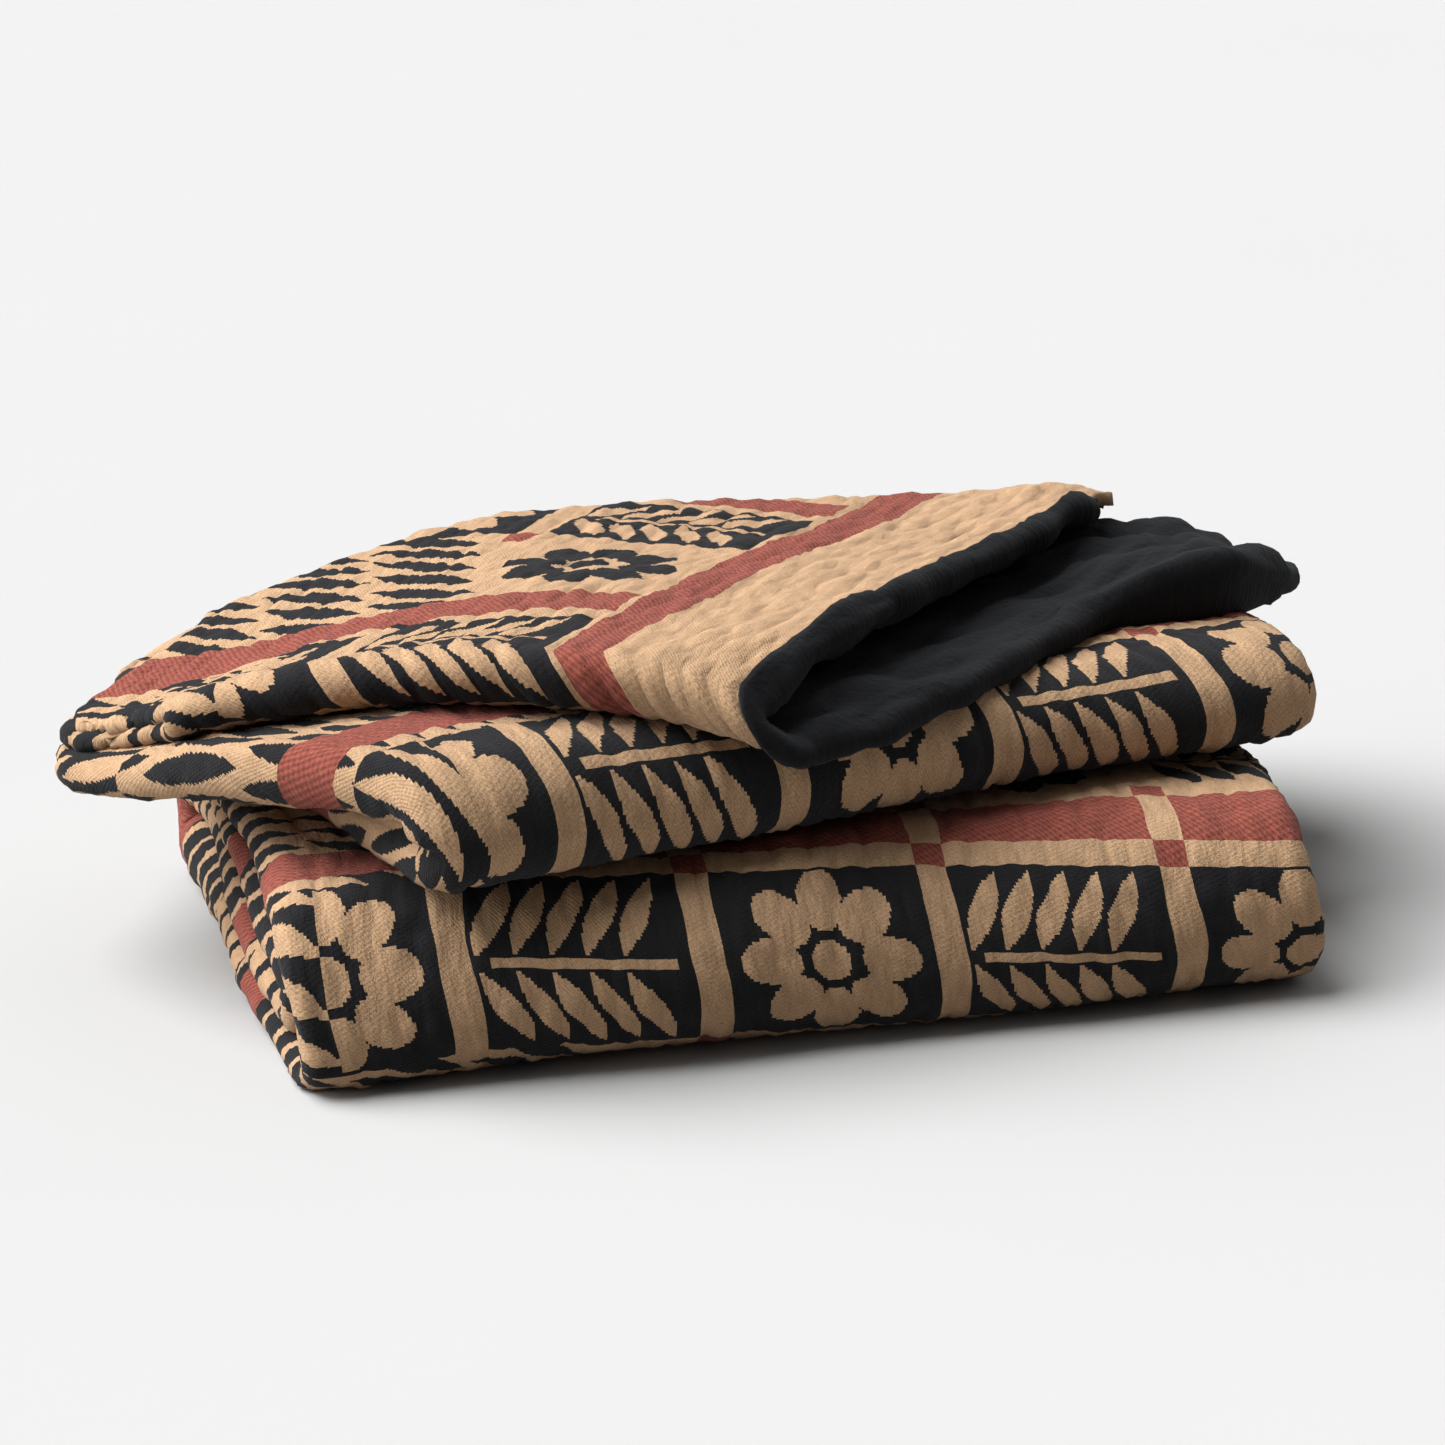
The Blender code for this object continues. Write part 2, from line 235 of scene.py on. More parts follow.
# Planes of the noise that the relief is read from
FOLD_PLANE = 0.0
DIMPLE_PLANE = 7.0
WAVE_PLANE = 3.0
PUFF_PLANE = 11.0


def ease(value, span):
    """0 up to the start of the span, 1 from its end on, and smooth between."""
    start, end = span
    share = min(1.0, max(0.0, (value - start) / (end - start)))
    return share * share * (3.0 - 2.0 * share)


def stack_heights():
    """The middle height of each ply, when each lies on the one below."""
    heights = {}
    top = 0.0
    for name, half, *_ in PLIES:
        gap = SECTION_SLIT if name in ("middle_low", "flap_under") else SLIT
        if name == "base":
            gap = 0.0
        reach = half + CLOTH / 2
        heights[name] = top + gap + reach
        top = heights[name] + reach
    return heights


HEIGHTS = stack_heights()
HALVES = {name: half for name, half, *_ in PLIES}
CORNERS = {name: [Vector((*corner, HEIGHTS[name])) for corner in corners] for name, _, *corners in PLIES}
ORDER = [name for _, names in SECTIONS for name in names]
LOWER_SECTION_TOP = HEIGHTS["lower_top"] + TIGHT + CLOTH / 2
MIDDLE_TOP = HEIGHTS["middle_top"] + EASY + CLOTH / 2
FLAP_SPLIT = (HEIGHTS["flap_under"] + HEIGHTS["flap_top"]) / 2
MIDDLE_SPLIT = HEIGHTS["middle_low"] + LOOSE + CLOTH / 2
FLAP_RISE = (MIDDLE_TOP, MIDDLE_TOP + SECTION_SLIT)


# The settling of the pile, move by move

def middle_front(x):
    """How far back the front fold line of the middle section lies."""
    left, right = CORNERS["middle_top"][:2]
    return left.y + (right.y - left.y) * (x - left.x) / (right.x - left.x)


def fan_lower_section(x, y, z):
    """At the lower section's left end the folds run together in front and spread at the back."""
    if z >= LOWER_SECTION_TOP:
        return x, y, z
    near_end = 1.0 - ease(x, FAN_X)
    tilt = FAN * (2.0 * ease(y, FAN_Y) - 1.0)
    return x, y, z + near_end * tilt * math.sin(math.pi * z / LOWER_SECTION_TOP)


def lift_mouth(x, y, z):
    """The flap's upper side stands a little open at its right end."""
    open_share = ease(x, MOUTH_X) * ease(y, MOUTH_Y) * (1.0 - MOUTH_END_SHARE * ease(x, MOUTH_END_X))
    upper = ease(z, (FLAP_SPLIT - MOUTH_BLEND, FLAP_SPLIT + MOUTH_BLEND))
    return x, y, z + MOUTH_LIFT * open_share * upper


def drop_flap_front(x, y, z):
    """The front of the flap hangs over the roll of the middle section."""
    beyond = middle_front(x) - y
    flap = ease(z, (MIDDLE_TOP, MIDDLE_TOP + FLAP_DROP_BLEND))
    return x, y, z - FLAP_DROP * ease(beyond, FLAP_DROP_BEYOND) * flap


def tip_bump(name, y):
    push, middle, before, behind = TIPS[name]
    spread = before if y < middle else behind
    return push * math.exp(-(((y - middle) / spread) ** 2))


def push_tip(x, y, z):
    """The left end of the upper plies stands out over the lower section."""
    flap = ease(z, FLAP_RISE)
    push = tip_bump("flap", y) * flap + tip_bump("middle_top", y) * (1.0 - flap)
    return x - push * (1.0 - ease(x, TIP_X)) * ease(z - LOWER_SECTION_TOP, TIP_RISE), y, z


def swell_tip(x, y, z):
    """Towards the tip the upper ply of the middle section is fuller and the lower one flatter."""
    if not LOWER_SECTION_TOP < z < MIDDLE_TOP:
        return x, y, z
    if z < MIDDLE_SPLIT:
        share = (z - LOWER_SECTION_TOP) / (MIDDLE_SPLIT - LOWER_SECTION_TOP)
    else:
        share = (MIDDLE_TOP - z) / (MIDDLE_TOP - MIDDLE_SPLIT)
    near_end = 1.0 - ease(x, SWELL_X)
    return x, y, z - SWELL * near_end * math.sin(math.pi / 2 * share)


def puff_corner(x, y, z):
    """The lobe of the flap's lower ply lies in soft ridges and hangs over the right end."""
    flap = ease(z, FLAP_RISE)
    ridge = CORNER_RIDGE * math.sin(2 * math.pi * (y - RIDGE_Y) / RIDGE_PITCH)
    lift = (CORNER_PUFF + ridge) * ease(x, CORNER_X) + LOBE_SWELL * ease(x, LOBE_SWELL_X)
    return x, y, z + (lift - CORNER_DROP * ease(x, CORNER_DROP_X)) * flap


def press_upper(x, y, z):
    """The sections above the lower one lie flatter to the right, at the back and over the left end."""
    above = z - LOWER_SECTION_TOP
    if above <= 0.0:
        return x, y, z
    share = 1.0 - RIGHT_PRESS * ease(x, RIGHT_PRESS_X) - BACK_PRESS * ease(y, BACK_PRESS_Y)
    share -= LEFT_DROOP * (1.0 - ease(x, LEFT_DROOP_X)) * ease(y, LEFT_DROOP_Y)
    share -= CORNER_PRESS * ease(x, CORNER_PRESS_X) * ease(y, CORNER_PRESS_Y)
    sag = OVERHANG_DROOP * (1.0 - ease(x, OVERHANG_X))
    return x, y, LOWER_SECTION_TOP + above * share - sag


def wave(waves, level, height):
    return WAVE * sum(math.sin(a * level + b * height + start) for a, b, start in waves)


def wave_sides(x, y, z):
    """The folds are never quite straight."""
    return x + wave(SIDEWAYS_WAVES, y, z), y + wave(FORTH_WAVES, x, z), z


SETTLING = (
    fan_lower_section,
    lift_mouth,
    drop_flap_front,
    push_tip,
    swell_tip,
    puff_corner,
    press_upper,
    wave_sides,
)


def settled(point):
    x, y, z = point
    for move in SETTLING:
        x, y, z = move(x, y, z)
    return Vector((x, y, z)) + ORIGIN


# The rows of the cloth, from one side of the strip to the other

class Row:
    """One row across the strip: its ends, the way its face looks, and its line in the pattern."""

    def __init__(self, left, right, facing, half, start, way):
        self.left = left
        self.right = right
        self.facing = facing
        self.half = half
        self.start = start
        self.way = way
        self.width = (right - left).length
        self.across = (right - left).normalized()


def graded(length, near_step, far_step, near_length):
    """Places from 0 to the length, close together up to near_length and wider after it."""
    places = [0.0]
    while places[-1] < length:
        wider = ease(places[-1], (near_length, 2 * near_length))
        places.append(places[-1] + near_step + (far_step - near_step) * wider)
    return [place * length / places[-1] for place in places]


def lobe_reach(share):
    """How far the lobe stands out at a share of the ply's depth, eased between the table's rows."""
    for (start, low), (end, high) in zip(LOBE, LOBE[1:]):
        if share <= end:
            return low + (high - low) * ease(share, (start, end))
    return LOBE[-1][1]


def ply_row(name, share):
    """Left and right end of a row across a ply, from its front at 0 to its back at 1."""
    front_left, front_right, back_left, back_right = CORNERS[name]
    left, right = front_left.lerp(back_left, share), front_right.lerp(back_right, share)
    if name == LOBE_PLY:
        right += (right - left).normalized() * lobe_reach(share)
    return left, right


def ply_depth(name):
    return (sum(CORNERS[name][2:], Vector()) - sum(CORNERS[name][:2], Vector())).length / 2


def ply_shares(name):
    """Where the rows of a ply lie, from 0 in front to 1 at the back."""
    near_step, far_step, near_length = ROW_STEPS[name]
    depth = ply_depth(name)
    return [place / depth for place in graded(depth, near_step, far_step, near_length)]


def outward(left, right, side):
    """The level direction that points out of the pile, square to a row."""
    along = (right - left).normalized()
    out = Vector((along.y, -along.x, 0.0)).normalized()
    return out if side == "front" else -out


class Ground:
    """How the pattern lies on one ply: its directions in plan, and how far along the cloth it starts."""

    def __init__(self, name, side_way, sign, front_along):
        left, right = CORNERS[name][:2]
        self.first = (right - left).to_2d().normalized()
        self.second = side_way
        self.origin = right.to_2d() if name.startswith("flap") else left.to_2d()
        self.sign = sign
        self.front_along = front_along
        self.area = self.first.cross(self.second)

    def place(self, point):
        """A plan point as (along the rows, along the cloth)."""
        from_origin = point.to_2d() - self.origin
        sideways = from_origin.cross(self.second) / self.area
        depth = self.first.cross(from_origin) / self.area
        return Vector((sideways, self.front_along + self.sign * depth))

    def line(self, left, right):
        """Start and direction in the pattern of a row between two plan points."""
        start = self.place(left)
        return start, (self.place(right) - start) / (right - left).length


def turn_length(first, second):
    return math.pi * abs(HEIGHTS[second] - HEIGHTS[first]) / 2


def grounds(names):
    """How the pattern lies on each ply of a section, unrolled from its last ply."""
    made = {}
    front_along = 0.0
    sign = 1.0
    for place in range(len(names) - 1, -1, -1):
        name = names[place]
        left, right = CORNERS[name][:2]
        if name.startswith("flap"):
            side_way = (CORNERS[name][3] - right).to_2d().normalized()
        else:
            side_way = (right - left).to_2d().normalized().orthogonal()
        made[name] = Ground(name, side_way, sign, front_along)
        if place == 0:
            break
        before = names[place - 1]
        round_turn = turn_length(name, before)
        if sign > 0:
            front_along -= round_turn
        else:
            front_along -= ply_depth(name) + round_turn + ply_depth(before)
        sign = -sign
    return made


def turn_rows(first, second, side, up, lines):
    """The rows of a half round turn from one ply to the next, without its two ends."""
    edge = 0.0 if side == "front" else 1.0
    left_a, right_a = ply_row(first, edge)
    left_b, right_b = ply_row(second, edge)
    rise = HEIGHTS[second] - HEIGHTS[first]
    count = max(LEAST_TURN_STEPS, math.ceil(turn_length(first, second) / FINE_TURN))
    rows = []
    for step in range(1, count):
        angle = math.pi * step / count
        share = (1.0 - math.cos(angle)) / 2
        left = left_a.lerp(left_b, share)
        right = right_a.lerp(right_b, share)
        out = outward(left, right, side)
        bulge = out * (abs(rise) / 2 * math.sin(angle))
        facing = Vector((0, 0, up * math.cos(angle))) - out * (up * math.copysign(math.sin(angle), rise))
        half = HALVES[first] + (HALVES[second] - HALVES[first]) * share
        start = lines[0][0].lerp(lines[1][0], step / count)
        way = lines[0][1].lerp(lines[1][1], step / count)
        rows.append(Row(left + bulge, right + bulge, facing, half, start, way))
    return rows


def section_rows(names):
    """All rows of a section, ply after ply, with the turn before it and those between them."""
    lie = grounds(names)
    first_place = ORDER.index(names[0])
    rows = []
    if first_place > 0:
        before, line = ORDER[first_place - 1], lie[names[0]].line(*ply_row(names[0], 1.0))
        shift = Vector((0.0, turn_length(before, names[0])))
        lines = ((line[0] + shift * lie[names[0]].sign, line[1]), line)
        left, right = ply_row(before, 1.0)
        rows.append(Row(left, right, Vector((0, 0, 1)), HALVES[before], *lines[0]))
        rows += turn_rows(before, names[0], "back", 1.0, lines)
    for place, name in enumerate(names):
        to_front = (first_place + place) % 2 == 0
        up = -1.0 if to_front else 1.0
        shares = ply_shares(name)
        for share in reversed(shares) if to_front else shares:
            left, right = ply_row(name, share)
            rows.append(Row(left, right, Vector((0, 0, up)), HALVES[name], *lie[name].line(left, right)))
        if place + 1 < len(names):
            side = "front" if to_front else "back"
            edge = 0.0 if to_front else 1.0
            after = names[place + 1]
            lines = (lie[name].line(*ply_row(name, edge)), lie[after].line(*ply_row(after, edge)))
            rows += turn_rows(name, after, side, up, lines)
    return rows


# The section of the strip, folded under on both sides

def strip_shape():
    """Shares across half a strip, from its edge to where its two sides meet."""
    reach = WIDEST / 2 - MEET
    return [place / reach for place in graded(reach, WING_STEP, WING_FAR_STEP, WING_FINE)]


WING_SHARES = strip_shape()
INNER_SHARES = [step / INNER_COLUMNS for step in range(INNER_COLUMNS + 1)]
TOP_SHARES = [step / round(WIDEST / TOP_STEP) for step in range(round(WIDEST / TOP_STEP) + 1)]


def arc(center_lat, center_off, radii, start, end, steps):
    """Points inside an arc with its own radius sideways and upwards, as (sideways, height)."""
    points = []
    for step in range(1, steps):
        angle = math.radians(start + (end - start) * step / steps)
        points.append((center_lat + radii[0] * math.cos(angle), center_off + radii[1] * math.sin(angle)))
    return points


def strip_section(width, half, is_flap):
    """The strip's middle line from right to left, and which of its points the pattern hangs on."""
    reach = width / 2 - MEET
    meeting = (MEET_BULGE, half / 2)
    points = []
    if not is_flap:
        points += [(width - reach * share, 0.0) for share in INNER_SHARES]
        points += arc(width - reach, -half / 2, meeting, 90, 270, MEET_STEPS)
        points += [(width - reach * share, -half) for share in reversed(WING_SHARES)]
        points += arc(width, 0.0, (half, half), -90, 90, EDGE_STEPS)
    anchor = len(points)
    points += [(width * share, half) for share in reversed(TOP_SHARES)]
    if not is_flap:
        anchor += len(TOP_SHARES) // 2
    points += arc(0.0, 0.0, (half, half), 90, 270, EDGE_STEPS)
    points += [(reach * share, -half) for share in WING_SHARES]
    if not is_flap:
        points += arc(reach, -half / 2, meeting, -90, 90, MEET_STEPS)
        points += [(reach * share, 0.0) for share in reversed(INNER_SHARES)]
    return points, anchor


def placed(row, lat, off):
    return settled(row.left + row.across * lat + row.facing * off)


def row_points(row, is_flap):
    """The settled points of a row with their places in the pattern, from true lengths along the row."""
    section, anchor = strip_section(row.width, row.half, is_flap)
    places = [placed(row, lat, off) for lat, off in section]
    reach = [0.0] * len(places)
    reach[anchor] = section[anchor][0]
    for step in range(anchor + 1, len(places)):
        reach[step] = reach[step - 1] - (places[step] - places[step - 1]).length
    for step in range(anchor - 1, -1, -1):
        reach[step] = reach[step + 1] + (places[step] - places[step + 1]).length
    return [(place, row.start + row.way * far, far) for place, far in zip(places, reach)]


# The relief of the cloth, in its own directions

def relief_noise(place, width, length, plane):
    return noise.noise(Vector((place.x / width, place.y / length, plane)))


def puckers(place, settings):
    """Height of the soft puckers and of the broad waves at a place of the pattern."""
    folds = relief_noise(place, settings.pucker_width, settings.pucker_length, FOLD_PLANE)
    dimples = relief_noise(place, settings.dimple_size, settings.dimple_size, DIMPLE_PLANE)
    waves = relief_noise(place, settings.wave_size, settings.wave_size, WAVE_PLANE)
    return settings.pucker_height * folds + settings.dimple_height * dimples + settings.wave_height * waves


def sheet_mesh(name, rows_of_points, settings, relief):
    """A grid whose points are moved to the rows, with its pattern places as a UV map and its relief."""
    columns = len(rows_of_points[0]) - 1
    mesh = bmesh.new()
    uv_layer = mesh.loops.layers.uv.new("Pattern")
    border = mesh.verts.layers.float.new("border")
    side = mesh.verts.layers.float.new("side")
    cross = mesh.verts.layers.float.new("cross")
    shift_across, shift_along, skew = PATTERN_SHIFTS[name]
    bmesh.ops.create_grid(mesh, x_segments=columns, y_segments=len(rows_of_points) - 1, size=1.0)
    mesh.verts.ensure_lookup_table()
    flat = [point for row in rows_of_points for point in row]
    if len(flat) != len(mesh.verts):
        raise RuntimeError(f"{name}: {len(flat)} points for {len(mesh.verts)} vertices")
    for vert, (place, spot, from_left) in zip(mesh.verts, flat):
        vert.co = place
        vert[side] = from_left
        vert[cross] = 1.0 if name == CROSS_LEAVES else 0.0
        vert[border] = -spot.x if name == "quilt_flap" else FAR_FROM_HEM
    bmesh.ops.reverse_faces(mesh, faces=mesh.faces)
    mesh.normal_update()
    moved = [vert.co + vert.normal * relief(flat[vert.index][1], settings) for vert in mesh.verts]
    for vert, place in zip(mesh.verts, moved):
        vert.co = (place.x, place.y, max(place.z, LOWEST))
    for face in mesh.faces:
        face.smooth = True
        for loop in face.loops:
            spot = flat[loop.vert.index][1]
            loop[uv_layer].uv = (spot.x + shift_across, spot.y + shift_along + skew * spot.x)
    data = bpy.data.meshes.new(name)
    mesh.to_mesh(data)
    mesh.free()
    made = bpy.data.objects.new(name, data)
    bpy.context.scene.collection.objects.link(made)
    return made


def thicken(piece, thickness):
    wall = piece.modifiers.new("Thickness", "SOLIDIFY")
    wall.thickness = thickness
    wall.offset = 0.0


# The backing's edge, wrapped round the hem of the flap's lower ply and as a full lip round the upper one
BACKING_COLUMNS = 76
EDGE_POINTS = 14
HEM_CLEARANCE = 0.0006
BACK_TURN_CLEARANCE = 0.0026
# How far the wrapped edge runs back on the face, and how long it is where it lies straight
WRAP_RETURN = 0.007
STUB = 0.004
# The lip: how far it stands out and hangs down, where it starts and ends round the hem, how far inside it
# the backing begins, and how much of it is lost between which places towards the back
LIP_REACH = 0.0092
LIP_SAG = 0.0060
LIP_TURN = (math.radians(102), math.radians(-140))
LIP_INSET = 0.013
LIP_TAPER = 0.85
LIP_TAPER_Y = (0.05, 0.30)
# Its share round the lobe, and the places between which it grows and fades there
LOBE_LIP = 0.85
LOBE_LIP_FRONT = (0.08, 0.18)
LOBE_LIP_BACK = (0.270, 0.306)
# The last rows, over which the edge fades out and steps back
LIP_END_ROWS = 10
LIP_END_INSET = 0.010
# Soft puffs on the side away from the face
PUFF_HEIGHT = 0.0054
PUFF_SIZE = 0.015
PUFF_LENGTH = 2.5 * PUFF_SIZE
# A row belongs to the flap's lower ply once its face looks down this far
LOOKS_DOWN = -0.99


def wrapped_edge(depth, back):
    """Round the hem to the side of the face, with a short straight end, from its end to its start."""
    radius = depth / 2
    arc_length = math.pi * radius
    points = []
    for step in range(EDGE_POINTS):
        far = (arc_length + back) * (1.0 - step / EDGE_POINTS)
        angle = min(far, arc_length) / radius
        past = max(0.0, far - arc_length)
        points.append(Vector((radius * math.sin(angle) - past, radius * (1.0 - math.cos(angle)))))
    return points


def lip_edge(depth):
    """A full lip round the hem, from its end on the face to its start."""
    middle, rise = (depth - LIP_SAG) / 2, (depth + LIP_SAG) / 2
    first, last = LIP_TURN
    angles = [first + (last - first) * step / EDGE_POINTS for step in range(EDGE_POINTS)]
    return [Vector((LIP_REACH * math.cos(angle), middle + rise * math.sin(angle))) for angle in angles]


def backing_edge(wrap, back, lip):
    """The edge from straight, at wrap 0, to wrapped round the hem, at wrap 1, and there to a full lip."""
    depth = CLOTH + BACKING + 2 * BACKING_SLIT
    stub = [Vector((STUB * (1.0 - step / EDGE_POINTS), 0.0)) for step in range(EDGE_POINTS)]
    close = [flat.lerp(full, wrap) for flat, full in zip(stub, wrapped_edge(depth, back))]
    return [near.lerp(full, lip) for near, full in zip(close, lip_edge(depth))]


def backing_points(rows):
    """The settled points of the backing inside the open end of the flap, with its edge."""
    made = []
    turned = False
    for rows_left, row in zip(range(len(rows) - 1, -1, -1), rows):
        turned = turned or row.facing.z < LOOKS_DOWN
        last = 1.0 - ease(rows_left, (0, LIP_END_ROWS))
        wrap = 1.0 - last if turned else max(0.0, -row.facing.z)
        upper = (1.0 + row.facing.z) / 2 if turned else 0.0
        lip = upper * (1.0 - LIP_TAPER * ease(row.right.y, LIP_TAPER_Y)) * (1.0 - last)
        if turned:
            lobe_lip = ease(row.right.y, LOBE_LIP_FRONT) * (1.0 - ease(row.right.y, LOBE_LIP_BACK))
            lip += (1.0 - upper) * LOBE_LIP * lobe_lip
        clear = BACKING_SLIT if turned else BACKING_SLIT + BACK_TURN_CLEARANCE
        off = row.half - CLOTH / 2 - clear - BACKING / 2
        start = row.width + HEM_CLEARANCE - LIP_END_INSET * last
        inner = start - LIP_INSET * lip
        end = start - (row.width / 2 - MEET)
        edge = backing_edge(wrap, WRAP_RETURN * (1.0 - upper), lip)
        step = (end - inner) / BACKING_COLUMNS
        section = [(start + point.x, off + point.y) for point in edge]
        section += [(inner + step * column, off) for column in range(BACKING_COLUMNS + 1)]
        made.append([(placed(row, lat, level), row.start + row.way * lat, lat) for lat, level in section])
    return made


def puffs(place, settings):
    """The backing's relief: that of the face with soft puffs on the side away from it."""
    share = 0.5 + relief_noise(place, PUFF_SIZE, PUFF_LENGTH, PUFF_PLANE)
    return puckers(place, settings) - PUFF_HEIGHT * max(0.0, share)


def color_choice(name, description, default):
    look = {"subtype": "COLOR", "size": 3, "min": 0, "max": 1}
    return FloatVectorProperty(name=name, description=description, default=default, **look)


def length_choice(name, description, default):
    return FloatProperty(name=name, description=description, default=default, unit="LENGTH")


class QuiltSettings(bpy.types.PropertyGroup):
    """Sizes and colours of the quilt that a user would change."""

    pucker_width: length_choice("Pucker width", "Width of a soft pucker", 0.0080)
    pucker_length: length_choice("Pucker length", "Length of a pucker", 0.024)
    pucker_height: length_choice("Pucker height", "Height of a pucker", 0.0021)
    dimple_size: length_choice("Dimple size", "Size of small dimples", 0.0062)
    dimple_height: length_choice("Dimple height", "Depth of dimples", 0.0014)
    wave_size: length_choice("Wave size", "Size of the broad waves", 0.08)
    wave_height: length_choice("Wave height", "Height of the waves", 0.0022)
    tan: color_choice("Tan", "The light yarn", (0.333, 0.205, 0.114))
    dark: color_choice("Dark", "The midnight yarn", (0.0084, 0.0077, 0.0084))
    red: color_choice("Red", "The rust red yarn", (0.172, 0.043, 0.029))
    backing: color_choice("Backing", "The plain backing", (0.0054, 0.0054, 0.0061))


# The weave: scales of its noises, and how dark and bright each makes the yarn; for the crinkles, painted
# shade
FUZZ_SCALE = 1400.0
HEATHER_SCALE = 760.0
HEATHER_STRETCH = (1.0, 1.7, 1.0)
HEATHER_SHADES = (0.5, 1.5)
CRINKLE_SCALE = 260.0
CRINKLE_STRETCH = (1.0, 0.4, 1.0)
# Painted shade in the crinkles' creases and painted light on their ridges, multiplied into the yarn's
# colour
PAINTED_CRINKLE_SHADING = (0.74, 1.26)
BLOTCH_SCALE = 16.0
BLOTCH_SHADES = (0.9, 1.1)
NOISE_DETAIL = 3.0
CRINKLE_DETAIL = 2.0

# The ribs of the twill: pitch on tan and on red, how much they shade there, and their shape
TWILL_PITCH = 0.0019
RED_TWILL_PITCH = 0.0034
RIB_DEPTHS = (0.22, 0.75)
TWILL_SHARES = (0.32, 0.18)
TWILL_LEAN = 0.35

# The height of the weave: its distance, and the shares of ribs, fuzz and crinkles in it
YARN_HEIGHT = 0.0009
RIB_SHARE = 0.5
FUZZ_SHARE = 0.7
CRINKLE_SHARE = 3.0
FACE_BUMP = 0.55
BACKING_BUMP = 0.5

# How the cloths and the floor take the light
FACE_ROUGHNESS = (0.85, 1.0)
FACE_LOOK = {"Sheen Weight": 0.04, "Sheen Roughness": 0.6, "Specular IOR Level": 0.08}
BACKING_SHADES = (0.6, 1.6)
BACKING_LOOK = {"Roughness": 0.95, "Sheen Weight": 0.03, "Sheen Roughness": 0.6, "Specular IOR Level": 0.08}
FLOOR_TONES = ((0.369, 0.358, 0.347, 1.0), (0.376, 0.365, 0.354, 1.0))
FLOOR_SCALE = 3.0
FLOOR_LOOK = {"Roughness": 0.9, "Specular IOR Level": 0.1}


# Materials, from small groups of nodes

class Tree:
    """Short ways to add nodes to one node tree."""

    def __init__(self, nodes):
        self.tree = nodes

    def add(self, kind, **settings):
        node = self.tree.nodes.new(kind)
        for name, value in settings.items():
            setattr(node, name, value)
        return node

    def plug(self, socket, value):
        if isinstance(value, bpy.types.NodeSocket):
            self.tree.links.new(value, socket)
        else:
            socket.default_value = value

    def math(self, operation, *values):
        node = self.add("ShaderNodeMath", operation=operation)
        for socket, value in zip(node.inputs, values):
            self.plug(socket, value)
        return node.outputs["Value"]

    def vector(self, x, y, z=0.0):
        node = self.add("ShaderNodeCombineXYZ")
        for socket, value in zip(node.inputs, (x, y, z)):
            self.plug(socket, value)
        return node.outputs["Vector"]

    def parts(self, vector):
        node = self.add("ShaderNodeSeparateXYZ")
        self.plug(node.inputs["Vector"], vector)
        return node.outputs["X"], node.outputs["Y"]

    def rest(self, mask):
        """1 where the mask is 0."""
        return self.math("SUBTRACT", 1.0, mask)

    def square(self, value):
        return self.math("MULTIPLY", value, value)

    def scaled(self, place, factors):
        node = self.add("ShaderNodeVectorMath", operation="MULTIPLY")
        self.plug(node.inputs[0], place)
        node.inputs[1].default_value = factors
        return node.outputs["Vector"]

    def attribute(self, name):
        return self.add("ShaderNodeAttribute", attribute_name=name).outputs["Fac"]

    def within(self, value, start, end):
        """1 between start and end, otherwise 0."""
        above = self.math("GREATER_THAN", value, start)
        return self.math("MULTIPLY", above, self.math("LESS_THAN", value, end))

    def differs(self, first, second):
        """1 where only one of two masks is 1."""
        return self.math("ABSOLUTE", self.math("SUBTRACT", first, second))

    def mix(self, share, first, second):
        node = self.add("ShaderNodeMix", data_type="RGBA")
        for name, value in (("Factor_Float", share), ("A_Color", first), ("B_Color", second)):
            self.plug(next(socket for socket in node.inputs if socket.identifier == name), value)
        return next(socket for socket in node.outputs if socket.identifier == "Result_Color")

    def noise(self, place, scale, detail=2.0):
        node = self.add("ShaderNodeTexNoise")
        self.plug(node.inputs["Vector"], place)
        self.plug(node.inputs["Scale"], scale)
        self.plug(node.inputs["Detail"], detail)
        return node.outputs["Fac"]

    def spread(self, value, low, high):
        """A value from 0 to 1 laid out between low and high."""
        node = self.add("ShaderNodeMapRange")
        for name, given in (("Value", value), ("To Min", low), ("To Max", high)):
            self.plug(node.inputs[name], given)
        return node.outputs["Result"]

    def group(self, nodes, **values):
        node = self.add("ShaderNodeGroup", node_tree=nodes)
        for name, value in values.items():
            self.plug(node.inputs[name.replace("_", " ").capitalize()], value)
        return node.outputs


def new_group(name, inputs, outputs):
    """An empty group with its named sockets, as the tree helper and its input and output nodes."""
    nodes = bpy.data.node_groups.new(name, "ShaderNodeTree")
    for socket_name, kind in inputs:
        nodes.interface.new_socket(socket_name, in_out="INPUT", socket_type=kind)
    for socket_name, kind in outputs:
        nodes.interface.new_socket(socket_name, in_out="OUTPUT", socket_type=kind)
    tree = Tree(nodes)
    return tree, tree.add("NodeGroupInput").outputs, tree.add("NodeGroupOutput").inputs


